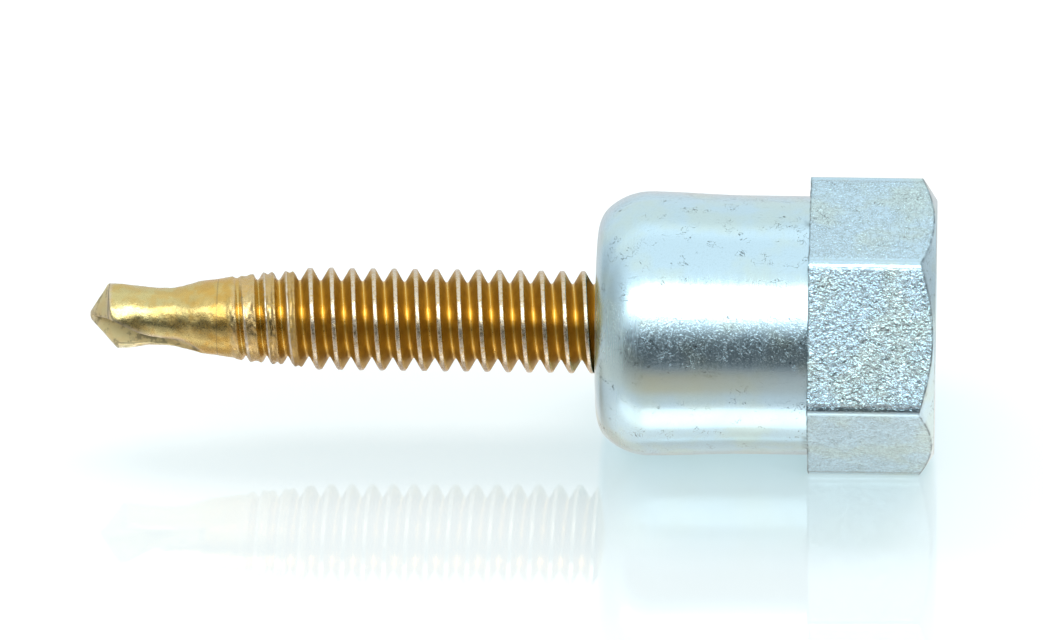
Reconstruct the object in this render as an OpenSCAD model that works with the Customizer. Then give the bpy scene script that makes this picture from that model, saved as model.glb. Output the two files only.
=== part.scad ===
// Threaded-rod hanger screw: a self-drilling machine screw whose head is
// held captive in a bell-shaped nut. The nut's hexagonal end takes the driver
// and its blind tapped socket takes the hanging rod.
// Millimetres. The screw's axis is X, its drill point looks to -X and the
// origin is on that axis in the nut's seat face. A flat of the hexagon lies
// down, on -Z.

/* [Screw thread] */
// Length of the screw from the nut's seat face to its drill tip
screw_reach = 30.66; // [26:0.01:60]
// Outside diameter of the thread
thread_d = 6.17; // [5.9:0.01:6.35]
// Pitch of the thread, 20 turns to the inch
thread_pitch = 1.27; // [1:0.01:1.4]
// Diameter at the bottom of the thread
thread_root_d = 4.6; // [4.4:0.01:5]
// Width of the flat on a full crest
crest_flat = 0.15; // [0.08:0.01:0.3]
// Depth of the fold rolled into the crests that aren't full
fold_depth = 0.12; // [0:0.01:0.2]
// Distance from the end of the plain point to the first crest
first_crest = 0.17; // [0:0.01:1]
// Turn of the screw in the nut, in degrees
screw_turn = -35.6; // [-180:0.1:180]

/* [Drill point] */
// Length of the plain point, from its tip to the first thread
point_len = 8.96; // [8:0.01:12]
// Angle between the two cutting lips, in degrees
lip_angle = 112; // [100:1:130]
// Diameter over the outer corners of the lips
lip_d = 3.96; // [3.7:0.01:4.3]
// Width of the chisel edge across the tip
chisel_w = 0.42; // [0.2:0.01:0.6]
// Thickness of the web between the flutes
web_t = 0.56; // [0.3:0.01:0.8]
// Diameter of the waist behind the lips
waist_d = 3.44; // [3.2:0.01:3.8]
// Distance from the tip to where the waist begins
waist_from = 3.7; // [3:0.01:4.2]
// Distance from the tip to where the waist ends
waist_to = 4.9; // [4.4:0.01:5.4]
// Diameter of the shank where the point swells into it
swell_d = 4.36; // [4:0.01:4.6]
// Distance from the tip to that swelling
swell_at = 6.7; // [6:0.01:7.4]
// Diameter of the shank at the first thread
shank_d = 4.88; // [4.7:0.01:5.1]
// Distance from the tip to where the flutes run out
flute_len = 6.9; // [6.2:0.01:7.4]
// Fall of a flute's heel towards its run-out, in degrees
flute_slope = 21.8; // [16:0.1:26]
// Lean of a flute's heel wall, in degrees
flute_lean = 14; // [5:0.1:30]

/* [Screw head] */
// Diameter of the flange under the head
flange_d = 11.6; // [10.8:0.01:12]
// Thickness of that flange
flange_t = 1.3; // [1:0.01:1.8]
// Head size across the flats of its hexagon
head_af = 9.53; // [8.8:0.01:10]
// Height of the hexagon above the flange
head_h = 3.6; // [3:0.01:4.4]
// Diameter of the plain neck under the head
neck_d = 5.5; // [5.2:0.01:5.8]

/* [Nut bell] */
// Length of the round bell, from the seat face to the hexagon
bell_len = 12.79; // [11.5:0.01:20]
// Largest diameter of the bell
belly_d = 15.95; // [15.6:0.01:16.4]
// Distance from the seat face to the largest diameter
belly_at = 3.23; // [3:0.01:3.6]
// Radius of the bell's round shoulder
shoulder_r = 3.78; // [3.7:0.01:4]
// Diameter of the flat seat face
seat_d = 10.44; // [9.6:0.01:11]
// Radius that leads from the seat face to the shoulder
seat_edge_r = 2.93; // [2.8:0.01:3]
// Diameter of the bell where it meets the hexagon
collar_d = 15.6; // [15.2:0.01:15.65]
// Distance from the seat face to where that diameter begins
collar_at = 9; // [8:0.01:11]
// Thickness of the end wall rolled in under the screw's head
end_wall = 1.8; // [1.5:0.01:2.4]

/* [Nut hexagon] */
// Length of the hexagon
hex_len = 7.63; // [6:0.01:10]
// Size across the flats
hex_af = 15.7; // [15.66:0.01:16.2]
// Radius of the hexagon's long edges
hex_edge_r = 0.45; // [0.2:0.01:0.8]
// Diameter of the end face inside its chamfer
chamfer_d = 15.3; // [14.4:0.01:15.5]
// Angle of the chamfer from the end face, in degrees
chamfer_angle = 33; // [20:1:45]

/* [Rod socket] */
// Tapping diameter of the socket, for 3/8-16 rod
socket_d = 7.94; // [7.8:0.01:8.15]
// Diameter of the countersink at the socket's mouth
mouth_d = 9.9; // [9.6:0.01:11]

/* [Fit] */
// Gap all round between the thread and its hole in the seat face
thread_gap = 0.22; // [0.1:0.01:0.3]
// Gap all round between the screw's head and its pocket
head_gap = 0.06; // [0.03:0.01:0.12]

/* [Hidden] */

// Round forms and their allowances
$fn = 96;
over = 1; // how far a cutting shape passes the face it cuts
tuck = 0.3; // how far one form is tucked into the next
skin = 0.02; // how far the tucked ends lie under the shank's surface

// Screw, along X
tip_x = -screw_reach;
thread_x = tip_x + point_len;
head_x = end_wall;
neck_x = head_x - 2 * tuck;
thread_end_x = neck_x + tuck;
thread_r = thread_d / 2;
root_r = thread_root_d / 2;
shank_r = shank_d / 2;
neck_r = neck_d / 2;
low_shank_r = shank_r - skin;
low_neck_r = neck_r - skin;

// Thread: 60 degree flanks, so a ridge widens by this much for each
// millimetre that its crest is cut down
flank_spread = tan(30);
steps = 28; // columns of points round one turn
row = 6; // points along one pitch
root_half = thread_pitch / 2 - crest_flat / 2 - (thread_r - root_r) * flank_spread;
root_lift = 0.25; // share of the root's half width by which its edges rise
before = 2; // turns laid before the start, so that its whole ring is held
strips = row * ceil((thread_end_x - thread_x) / thread_pitch + before + 1);

// How full the crest is, by the number of turns from the thread's start
FILL = [[0, 0], [0.35, 0.28], [2.5, 0.55], [3.3, 1]];

// Nut
nut_len = bell_len + hex_len;

// Step along the round edges of the hexagon, in degrees
edge_step = 10;

function ring(r, a) = [r * cos(a), r * sin(a)];

// Turns it so that what stands along Z lies along X
module along_x() { rotate([90, 0, 90]) children(); }

// ---- drill screw -------------------------------------------------------

// Radius of the crest at x: the first turns are not full, and inside the
// nut the thread runs out into the neck
function crest_at(x) =
    let (start = lookup((x - thread_x) / thread_pitch, FILL),
         stop = min(1, max(0, (neck_x - x) / thread_pitch)))
    min(low_shank_r + (thread_r - low_shank_r) * start, low_neck_r + (thread_r - low_neck_r) * stop);

// Radius of the root at x, which fades into the shank and into the neck
function root_at(x) =
    let (start = min(1, max(0, 2 * (x - thread_x) / thread_pitch)),
         stop = min(1, max(0, 2 * (neck_x - x) / thread_pitch - 1)))
    root_r + (low_shank_r - root_r) * (1 - start) + (low_neck_r - root_r) * (1 - stop);

// One point of the thread's section, k of row along the pitch from the
// middle of a root. mid is the place of the ridge's crest.
function section_point(k, mid) =
    let (crest = crest_at(mid),
         half = crest_flat / 2 + (thread_r - crest) * flank_spread,
         wide = min(half, thread_pitch / 2 - root_half - crest_flat / 2),
         fold = crest < thread_r - fold_depth ? fold_depth : 0)
    k == 0 ? [-thread_pitch / 2, 0, 0] :
    k == 1 ? [-thread_pitch / 2 + root_half, root_half * root_lift, 0] :
    k == 2 ? [-wide, 0, crest] :
    k == 3 ? [0, 0, crest - fold] :
    k == 4 ? [wide, 0, crest] :
             [thread_pitch / 2 - root_half, root_half * root_lift, 0];

// The thread as one closed skin: rows of points follow the right-hand
// helix, and those that would pass either end are held in its end plane.
module thread(x0, x1) {
    function place(i, j) =
        let (turn = floor(i / row), k = i - turn * row,
             mid = thread_x + first_crest + (turn - before + j / steps) * thread_pitch,
             p = section_point(k, mid),
             x = min(x1, max(x0, mid + p[0])),
             r = p[2] > 0 ? max(p[2], root_at(x)) : root_at(x) + p[1])
        [x, r];
    // Points that lie in an end plane share one index in each column
    function index(i, j) =
        let (over_seam = j == steps, ii = over_seam ? i + row : i, jj = over_seam ? 0 : j,
             x = place(ii, jj)[0])
        x <= x0 ? jj : x >= x1 ? steps + jj : 2 * steps + ii * steps + jj;
    points = concat(
        [for (j = [0 : steps - 1]) let (p = ring(low_shank_r, 360 * j / steps)) [x0, p[0], p[1]]],
        [for (j = [0 : steps - 1]) let (p = ring(low_neck_r, 360 * j / steps)) [x1, p[0], p[1]]],
        [for (i = [0 : strips + row], j = [0 : steps - 1])
            let (q = place(i, j), p = ring(q[1], 360 * j / steps)) [q[0], p[0], p[1]]]);
    cells = [for (i = [0 : strips - 1], j = [0 : steps - 1])
        let (a = index(i, j), b = index(i + 1, j), c = index(i + 1, j + 1), d = index(i, j + 1))
        each [[a, b, c], [a, c, d]]];
    skin_faces = [for (f = cells) if (f[0] != f[1] && f[1] != f[2] && f[2] != f[0]) f];
    polyhedron(points, concat(skin_faces,
        [[for (j = [0 : steps - 1]) j]],
        [[for (j = [steps - 1 : -1 : 0]) steps + j]]));
}

// The forged point before its flutes are cut: cone, waist and shank
module point_blank() {
    cone_len = (lip_d - chisel_w) / 2 / tan(lip_angle / 2);
    translate([tip_x, 0, 0]) along_x() rotate_extrude() polygon([
        [0, 0], [chisel_w / 2, 0], [lip_d / 2, cone_len],
        [waist_d / 2, waist_from], [waist_d / 2, waist_to],
        [swell_d / 2, swell_at], [shank_r, point_len - tuck], [shank_r, point_len],
        [0, point_len]]);
}

// What one flute takes away: in front of the rake face, and under a heel
// wall that leans over and falls towards the run-out
module flute() {
    reach = lip_d + over;
    run = (reach - web_t / 2) * tan(flute_lean);
    end_drop = swell_d / 2;
    translate([tip_x + flute_len, 0, -end_drop]) rotate([0, flute_slope, 0])
        translate([-2 * flute_len, 0, 0]) rotate([90, 0, 90])
            linear_extrude(2 * flute_len) polygon([
                [-web_t / 2, 0], [-web_t / 2, -reach], [-reach, -reach], [-reach, -run]]);
}

module drill_point() {
    difference() {
        point_blank();
        flute();
        rotate([180, 0, 0]) flute();
    }
}

// Plain neck, flange and hexagon, which stay inside the nut
module screw_head() {
    translate([neck_x, 0, 0]) along_x() cylinder(d = neck_d, h = head_x + flange_t - neck_x);
    translate([head_x, 0, 0]) along_x() cylinder(d = flange_d, h = flange_t);
    translate([head_x, 0, 0]) along_x()
        cylinder(d = head_af / cos(30), h = flange_t + head_h, $fn = 6);
}

module drill_screw() {
    color("goldenrod") rotate([screw_turn, 0, 0]) {
        drill_point();
        thread(thread_x - tuck, thread_end_x);
        screw_head();
    }
}

// ---- rod nut -----------------------------------------------------------

// Half section of the bell: the round shoulder, met by the seat's edge. Its
// collar is tucked a little way into the hexagon.
module bell_section() {
    shoulder_in = belly_d / 2 - shoulder_r;
    collar_end = bell_len + tuck;
    intersection() {
        union() {
            translate([shoulder_in, belly_at]) circle(shoulder_r);
            square([shoulder_in, collar_end]);
            polygon([[0, belly_at], [belly_d / 2, belly_at],
                [collar_d / 2, collar_at], [collar_d / 2, collar_end], [0, collar_end]]);
        }
        union() {
            square([seat_d / 2, collar_end]);
            translate([seat_d / 2, seat_edge_r]) circle(seat_edge_r);
            translate([0, seat_edge_r]) square([belly_d / 2 + over, collar_end]);
        }
    }
}

// Hexagon with round long edges: an arc of 60 degrees about each corner
module hex_section() {
    corner_at = (hex_af / 2 - hex_edge_r) / cos(30);
    polygon([for (corner = [0 : 60 : 300], a = [-30 : edge_step : 30])
        ring(corner_at, corner) + ring(hex_edge_r, corner + a)]);
}

// The chamfer turned on the hexagon's outer end
module chamfer_blank() {
    spread = hex_len / tan(chamfer_angle);
    along_x() translate([0, 0, bell_len])
        cylinder(r1 = chamfer_d / 2 + spread, r2 = chamfer_d / 2, h = hex_len);
}

module hex_end() {
    intersection() {
        translate([bell_len, 0, 0]) along_x() linear_extrude(hex_len) hex_section();
        chamfer_blank();
    }
}

// Screw hole, flange pocket, hexagonal pocket and tapped socket, end to end
module nut_hollow() {
    mouth_depth = (mouth_d - socket_d) / 2;
    socket_from = end_wall + flange_t;
    along_x() {
        translate([0, 0, -over]) cylinder(d = thread_d + 2 * thread_gap, h = end_wall + 2 * over);
        translate([0, 0, end_wall]) cylinder(d = flange_d + 2 * head_gap, h = flange_t);
        translate([0, 0, end_wall]) rotate(screw_turn)
            cylinder(d = (head_af + 2 * head_gap) / cos(30), h = flange_t + head_h, $fn = 6);
        translate([0, 0, socket_from]) cylinder(d = socket_d, h = nut_len - socket_from + over);
        translate([0, 0, nut_len - mouth_depth])
            cylinder(d1 = socket_d, d2 = mouth_d + 2 * over, h = mouth_depth + over);
    }
}

module rod_nut() {
    color("lightsteelblue") difference() {
        union() {
            along_x() rotate_extrude() bell_section();
            hex_end();
        }
        nut_hollow();
    }
}

drill_screw();
rod_nut();
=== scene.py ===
"""Finishes the threaded rod hanger screw and sets it on a pale studio floor.

The screw and the nut are each one closed skin, worked out in millimetres in
the frame's own axes: X along the screw from its drill point to the rod
socket, Z up. Angles round the axis run from +Y towards +Z.
"""

import math
from functools import partial

import bmesh
import bpy
import numpy as np
from bpy.props import FloatProperty, FloatVectorProperty, PointerProperty
from mathutils import Matrix, Vector


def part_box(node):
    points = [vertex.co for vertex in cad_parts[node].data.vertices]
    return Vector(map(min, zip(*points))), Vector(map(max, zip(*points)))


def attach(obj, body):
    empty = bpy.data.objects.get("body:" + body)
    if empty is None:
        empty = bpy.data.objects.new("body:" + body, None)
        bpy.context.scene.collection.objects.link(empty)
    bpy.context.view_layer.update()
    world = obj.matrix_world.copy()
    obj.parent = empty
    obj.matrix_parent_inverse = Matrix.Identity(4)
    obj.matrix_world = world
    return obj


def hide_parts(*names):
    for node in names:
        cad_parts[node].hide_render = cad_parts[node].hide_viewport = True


bl_info = {
    "name": "Rod hanger screw",
    "version": (1, 0, 0),
    "blender": (4, 5, 0),
    "location": "3D View > Sidebar > Hanger",
    "description": "Self-drilling screw held in a bell nut with a tapped rod socket",
    "category": "Add Mesh",
}

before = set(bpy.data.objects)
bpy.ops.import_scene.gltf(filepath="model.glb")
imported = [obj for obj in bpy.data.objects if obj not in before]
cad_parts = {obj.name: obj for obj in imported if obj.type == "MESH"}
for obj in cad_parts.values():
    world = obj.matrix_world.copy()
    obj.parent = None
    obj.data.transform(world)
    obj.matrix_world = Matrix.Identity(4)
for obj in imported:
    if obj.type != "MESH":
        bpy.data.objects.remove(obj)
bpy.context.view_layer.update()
SCREW_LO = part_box("drill_screw")[0]
NUT_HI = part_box("rod_nut")[1]

MM = 0.001


# ---- sizes and colours ----


def linear(code):
    """Linear colour of an sRGB hex code.

    Each channel over 255 is divided by 12.92 up to 0.04045, and above it
    is ((c + 0.055) / 1.055) to the power 2.4.
    """
    parts = [int(code[i : i + 2], 16) / 255 for i in (0, 2, 4)]
    return [c / 12.92 if c <= 0.04045 else ((c + 0.055) / 1.055) ** 2.4 for c in parts]


def length(name, description, millimetres):
    """A length property, its default given in millimetres."""
    return FloatProperty(
        name=name,
        description=description,
        default=millimetres * MM,
        precision=5,
        unit="LENGTH",
        subtype="DISTANCE",
    )


def angle(name, description, degrees):
    """An angle property, its default given in degrees."""
    return FloatProperty(
        name=name,
        description=description,
        default=math.radians(degrees),
        unit="ROTATION",
        subtype="ANGLE",
    )


def colour(name, description, code):
    """A colour property, its default given as an sRGB hex code."""
    return FloatVectorProperty(
        name=name,
        description=description,
        default=linear(code),
        size=3,
        min=0,
        max=1,
        subtype="COLOR",
    )


def level(name, description, value):
    """A property for the strength of a light, from 0 upwards."""
    return FloatProperty(
        name=name, description=description, default=value, min=0, subtype="FACTOR"
    )


class ScrewSizes(bpy.types.PropertyGroup):
    """Sizes of the self-drilling screw."""

    reach: length(
        "Reach", "From the nut's seat face to the drill tip", -SCREW_LO[0] / MM
    )
    point_len: length("Point length", "From the tip to the first thread", 8.96)
    thread_d: length("Thread diameter", "Over the crests of the thread", 6.17)
    root_d: length("Root diameter", "At the bottom of the thread", 4.6)
    pitch: length("Pitch", "From one crest of the thread to the next", 1.27)
    neck_d: length("Neck diameter", "Plain neck under the head", 5.5)
    flange_d: length("Flange diameter", "Round flange under the head", 11.6)
    flange_t: length("Flange thickness", "Thickness of that flange", 1.3)
    head_af: length("Head size", "Across the flats of the screw's head", 9.53)
    head_h: length("Head height", "From the flange to the top of the head", 3.6)
    turn: angle("Turn", "Turn of the screw in the nut", -35.6)


class NutSizes(bpy.types.PropertyGroup):
    """Sizes of the bell nut."""

    bell_len: length("Bell length", "From the seat face to the hexagon", 12.79)
    total_len: length("Length", "From the seat face to the end face", NUT_HI[0] / MM)
    seat_d: length("Seat diameter", "Flat seat face round the screw", 10.44)
    hole_d: length("Screw hole", "Hole in the seat face", 6.61)
    seat_edge_r: length("Seat edge radius", "From the seat to the shoulder", 2.93)
    shoulder_r: length("Shoulder radius", "Round shoulder of the bell", 3.78)
    belly_d: length("Belly diameter", "Largest of the bell", 2 * NUT_HI[2] / MM)
    belly_at: length("Belly place", "From the seat face to the belly", 3.23)
    collar_d: length("Collar diameter", "Where the bell meets the hexagon", 15.6)
    collar_at: length("Collar place", "From the seat face to the collar", 9.0)
    hex_af: length("Hexagon size", "Across the flats", 15.7)
    hex_edge_r: length("Edge radius", "Round long edges of the hexagon", 0.45)
    chamfer_d: length("End face diameter", "Inside the turned chamfer", 15.3)
    chamfer: angle("Chamfer", "Angle of the chamfer from the end face", 33)
    end_wall: length("End wall", "Wall under the screw's head", 1.8)
    socket_d: length("Socket bore", "Bore of the tapped rod socket", 7.94)
    socket_major_d: length("Socket thread", "Bottom of the socket's thread", 9.3)
    socket_pitch: length("Socket pitch", "Pitch of the socket's thread", 1.5875)
    mouth_d: length("Mouth diameter", "Countersink at the socket's mouth", 9.9)


class FinishColours(bpy.types.PropertyGroup):
    """Colours of the two platings and of the floor."""

    amber: colour("Amber", "Thick yellow chromate in the thread", "C19F46")
    bronze: colour("Bronze", "Darkest places of that film", "B18D38")
    straw: colour("Straw", "Thin yellow chromate on the point", "CEC48A")
    gold: colour("Gold", "Thicker chromate on the shank", "D0AE60")
    worn: colour("Worn zinc", "Bare zinc on worn edges", "D9D0BC")
    ground: colour("Ground", "Film on the ground faces of the point", "E6DDB2")
    # painted highlight along the root of the thread
    painted_root_highlight: colour("Root line", "Bright film at the root of the thread", "F2D27C")
    # dark specks and smudges on the point, and painted shade in its hollows
    dark_marks_and_shade: colour("Darkening", "Shading in the hollows of the point", "6E6A58")
    blue_zinc: colour("Blue zinc", "Blue-white chromate on the nut", "C7E8F7")
    green_zinc: colour("Green zinc", "Where that chromate is thin", "CBE7EA")
    # painted reflection of the warm floor ahead, seen low on the bell
    painted_reflection: colour("Reflection", "Faint straw stain on the bell", "D6DDBE")
    # painted shade between the zinc's crystals and in its creases, with the blue tint
    # the film has there
    hollow_tint_and_shade: colour("Hollow", "Between the crystals of the zinc", "88A4B2")
    scratch: colour("Scratch", "Fine marks and edges in the zinc", "5C6C70")
    floor: colour("Floor", "Pale lacquered floor", "D2CAC7")
    glow: colour("Glow", "Light of the floor from below", "93AEB4")
    warm_glow: colour("Warm glow", "That light as the metal sees it", "B4A89E")


class StudioSettings(bpy.types.PropertyGroup):
    """Camera and light."""

    distance: length("Distance", "From the lens to the screw's axis", 775.79)
    along: length("Place along the axis", "Of the camera, from the seat", 23.971)
    elevation: angle("Elevation", "Of the camera above the floor", 35.586)
    yaw: angle("Yaw", "Turn of the camera about its upright", -2.108)
    pitch: angle("Pitch", "Tilt of the camera about its right", 0.0061)
    roll: angle("Roll", "Turn of the camera about its own axis", 0.803)
    lens: FloatProperty(
        name="Lens",
        description="Focal length in millimetres on a sensor 36 mm wide",
        default=443.73,
        subtype="DISTANCE_CAMERA",
    )
    key: level("Key light", "Radiance of the softbox over the camera", 3.2)
    beside: level("Side light", "Radiance of the softbox left of the key", 1.5)
    overhead: level("Overhead light", "Radiance of the softbox overhead", 3.2)
    room: level("Room light", "Radiance of the white surroundings", 0.9)
    opening: level("Opening", "Radiance of the dark side behind the camera", 0.09)
    sides: level("Sides", "Radiance of the grey sides of the room", 0.5)


# ---- shapes ----

SCREW_COLUMNS = 96
FULL_TURN = 2 * np.pi
FLANK_SLOPE = math.tan(math.radians(60))  # of a 60 degree thread
WELD = 2e-6  # points closer than this are one, in metres


def soft_min(a, b, band):
    """The smaller of a and b, with the corner where they cross rounded.

    Inside the band it is the smaller less a quarter of the band times
    (1 - |a - b| / band) squared.
    """
    near = np.maximum(band - np.abs(a - b), 0) / band
    return np.minimum(a, b) - near * near * band / 4


def soft_max(a, b, band):
    """The larger of a and b, with the same rounding as soft_min."""
    return -soft_min(-a, -b, band)


def ease(t):
    """Runs from 0 to 1 with level ends: 3t² - 2t³, held outside 0 to 1."""
    t = np.clip(t, 0, 1)
    return t * t * (3 - 2 * t)


def smooth_table(x, places, values, blur):
    """A table read at x and blurred: the mean of nine readings within blur."""
    shifts = np.linspace(-blur, blur, 9)
    return sum(np.interp(x + s, places, values) for s in shifts) / len(shifts)


def waves(points, wavelength, seed, count=28):
    """Irregular relief from -2 to 2: a sum of plane waves of random direction.

    Each wave is the cosine of the point's distance along its direction over
    its length, which is within a third of the wavelength asked for.
    """
    draw = np.random.default_rng(seed)
    way = draw.normal(size=(count, 3))
    way /= np.linalg.norm(way, axis=1)[:, None]
    way *= FULL_TURN / (wavelength * draw.uniform(0.67, 1.5, (count, 1)))
    start = draw.uniform(0, FULL_TURN, count)
    return np.cos(points @ way.T + start).sum(axis=-1) * math.sqrt(2 / count)


def hexagon_radius(theta, across, edge_r):
    """Distance from the axis to a hexagon with round corners, at angle theta.

    With d the angle from the nearest corner, the flat is half the size
    across flats over cos(30° - d). Inside the corner's arc it is where the
    ray meets the arc's circle: c·cos d + sqrt(r² - c²·sin² d).
    """
    sector = math.pi / 3
    d = np.abs((theta + sector / 2) % sector - sector / 2)
    flat = across / 2 / np.cos(sector / 2 - d)
    centre = (across / 2 - edge_r) / math.cos(sector / 2)
    under = np.maximum(edge_r**2 - (centre * np.sin(d)) ** 2, 0)
    arc = centre * np.cos(d) + np.sqrt(under)
    tangent = math.atan2(edge_r / 2, centre + edge_r * math.cos(sector / 2))
    return np.where(d < tangent, arc, flat)


def turned(x, r, theta):
    """Points at x and at distance r from the axis, for each angle theta."""
    x, r, theta = np.broadcast_arrays(x, r, theta)
    return np.stack([x, r * np.cos(theta), r * np.sin(theta)], axis=-1)


def helix_grid(start, end, rings, pitch, first, offsets, theta, radius_at):
    """A thread's skin whose rows follow the right-hand helix.

    A row's place is the crest of its turn, first + (turn + angle) times the
    pitch, plus its offset along the pitch. Rows that would pass an end are
    held in the end's plane on its ring, where they close up when welded.
    """
    turns = math.ceil((end - start) / pitch) + 3
    low = math.floor((start - first) / pitch) - 1
    turn = low + np.repeat(np.arange(turns), len(offsets))[:, None]
    offset = np.tile(offsets, turns)[:, None]
    crest = first + (turn + theta / FULL_TURN) * pitch
    x = crest + offset
    r = radius_at(x, crest, offset)
    r = np.where(x <= start, rings[0], np.where(x >= end, rings[1], r))
    return turned(np.clip(x, start, end), r, theta)


def closed_skin(name, grids):
    """One closed mesh from grids of points whose rims and seams meet.

    A grid is (points, wear, cut): its rows and columns make quads. Wear and
    cut run from 0 to 1 and are kept as vertex attributes. Wear is how far an
    edge of the screw is rubbed, and how much darker an edge of the nut is
    drawn; cut marks the screw's ground faces and the nut's smooth edges.
    Points that meet are welded, which closes seams, poles and the rows held
    on a ring, and normals are turned out.
    """
    points, wear, cut, quads, base = [], [], [], [], 0
    for grid, worn, ground in grids:
        rows, columns = grid.shape[:2]
        index = base + np.arange(rows * columns).reshape(rows, columns)
        corners = [index[:-1, :-1], index[1:, :-1], index[1:, 1:], index[:-1, 1:]]
        quads.append(np.stack(corners, axis=-1).reshape(-1, 4))
        points.append(grid.reshape(-1, 3))
        wear.append(np.broadcast_to(worn, (rows, columns)).ravel())
        cut.append(np.broadcast_to(ground, (rows, columns)).ravel())
        base += rows * columns
    mesh = bpy.data.meshes.new(name)
    mesh.from_pydata(np.concatenate(points) * MM, [], np.concatenate(quads).tolist())
    for key, parts in (("wear", wear), ("cut", cut)):
        layer = mesh.attributes.new(key, "FLOAT", "POINT")
        layer.data.foreach_set("value", np.concatenate(parts).astype(np.float32))
    made = bmesh.new()
    made.from_mesh(mesh)
    bmesh.ops.remove_doubles(made, verts=made.verts, dist=WELD)
    bmesh.ops.recalc_face_normals(made, faces=made.faces)
    open_edges = sum(len(edge.link_faces) != 2 for edge in made.edges)
    made.to_mesh(mesh)
    made.free()
    if open_edges:
        raise RuntimeError(f"{name} has {open_edges} edges that aren't closed")
    piece = bpy.data.objects.new(name, mesh)
    bpy.context.collection.objects.link(piece)
    return piece


def read_vectors(items, key):
    """One row for each vertex or face, with the vector called key."""
    values = np.empty(len(items) * 3, np.float32)
    items.foreach_get(key, values)
    return values.reshape(-1, 3)


def read_points(mesh):
    """The mesh's points in millimetres."""
    return read_vectors(mesh.vertices, "co").astype(float) / MM


def write_points(mesh, points):
    """Moves the mesh's points to these, in millimetres."""
    mesh.vertices.foreach_set("co", (points * MM).astype(np.float32).ravel())
    mesh.update()


def shade(mesh, sharp_degrees):
    """Shades the mesh smooth, except at edges sharper than the angle."""
    mesh.polygons.foreach_set("use_smooth", np.ones(len(mesh.polygons), bool))
    mesh.set_sharp_from_angle(angle=math.radians(sharp_degrees))


# ---- screw ----

# Outline of the forged point: distance from the tip and radius
BODY_AT = [0, 1.21, 1.69, 2.18, 2.66, 3.15, 3.63, 4.11, 4.6, 5.08, 5.57, 6.05]
BODY_R = [1.97, 1.96, 1.95, 1.9, 1.845, 1.79, 1.74, 1.72, 1.73, 1.76, 1.88, 2.0]
BODY_AT += [6.53, 7.02, 7.5, 7.99, 8.47, 8.96, 10]
BODY_R += [2.16, 2.22, 2.28, 2.36, 2.42, 2.44, 2.44]

# Angle of the heel edge on the point, from the tip to the flute's run-out
HEEL_AT = [0, 0.3, 0.6, 1, 1.35, 1.9, 2.66, 3.7, 4.5, 5.2, 5.6, 5.9, 6.4, 6.9]
HEEL_ANGLE = [-2, -4.5, -5.5, -6.5, -8.5, -17, -29, -45, -49, -49.5, -50, -53, -58, -70]

# Distances from the tip: where the ground cone is past, where the flutes run
# out, and where the point's skin meets the thread's
CONE_END, FLUTE_END, POINT_END = 2.4, 6.9, 7.96
LIP = math.radians(90)  # angle of the first lip
HALF_WEB = 0.28  # half the thickness left between the flutes
NECK = 0.6  # length of the plain neck under the head
FIRST_CREST = 0.17  # behind the thread's start
LAND, RAKE, HEEL = 28, 10, 10  # columns on the parts of half a section
EVEN_HEEL = -19  # column of the heel where they are spread evenly

# Radius of the thread's crest by turns from its start, and the depth of the
# fold between the two ridges of a crest that isn't full
CREST_AT = [-1.2, -0.6, -0.1, 0.4, 0.9, 1.4, 1.9, 2.4, 2.9, 3.3, 3.6]
CREST_R = [2.5, 2.55, 2.57, 2.63, 2.7, 2.76, 2.8, 2.85, 2.93, 3.05, 3.085]
FOLD_DEPTH = [0.04, 0.05, 0.06, 0.07, 0.1, 0.13, 0.13, 0.11, 0.06, 0.0, 0.0]


def body_radius(at):
    """Radius of the forged point and of the shank behind it."""
    return smooth_table(at, BODY_AT, BODY_R, 0.22)


def cone_radius(at, phi):
    """Ground cone at the tip, on an axis that leans a little.

    Its radius is 0.17 + 1.48 times the distance behind the tip, more on
    the side of the first lip. The distance is less by 0.16 for each 100
    degrees from the lip back to its heel.
    """
    behind_lip = (LIP - phi) / math.radians(100)
    relief = 0.16 * np.clip(behind_lip, 0, 1.2)
    lean = np.sin(phi) * (0.08 + 0.13 * at)
    return np.maximum(0.17 + 1.48 * (at - relief) + lean, 0.12)


def on_circle(r, phi):
    """Points at distance r and angle phi, in the plane of a section."""
    return np.stack([r * np.cos(phi), r * np.sin(phi)], axis=-1)


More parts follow.
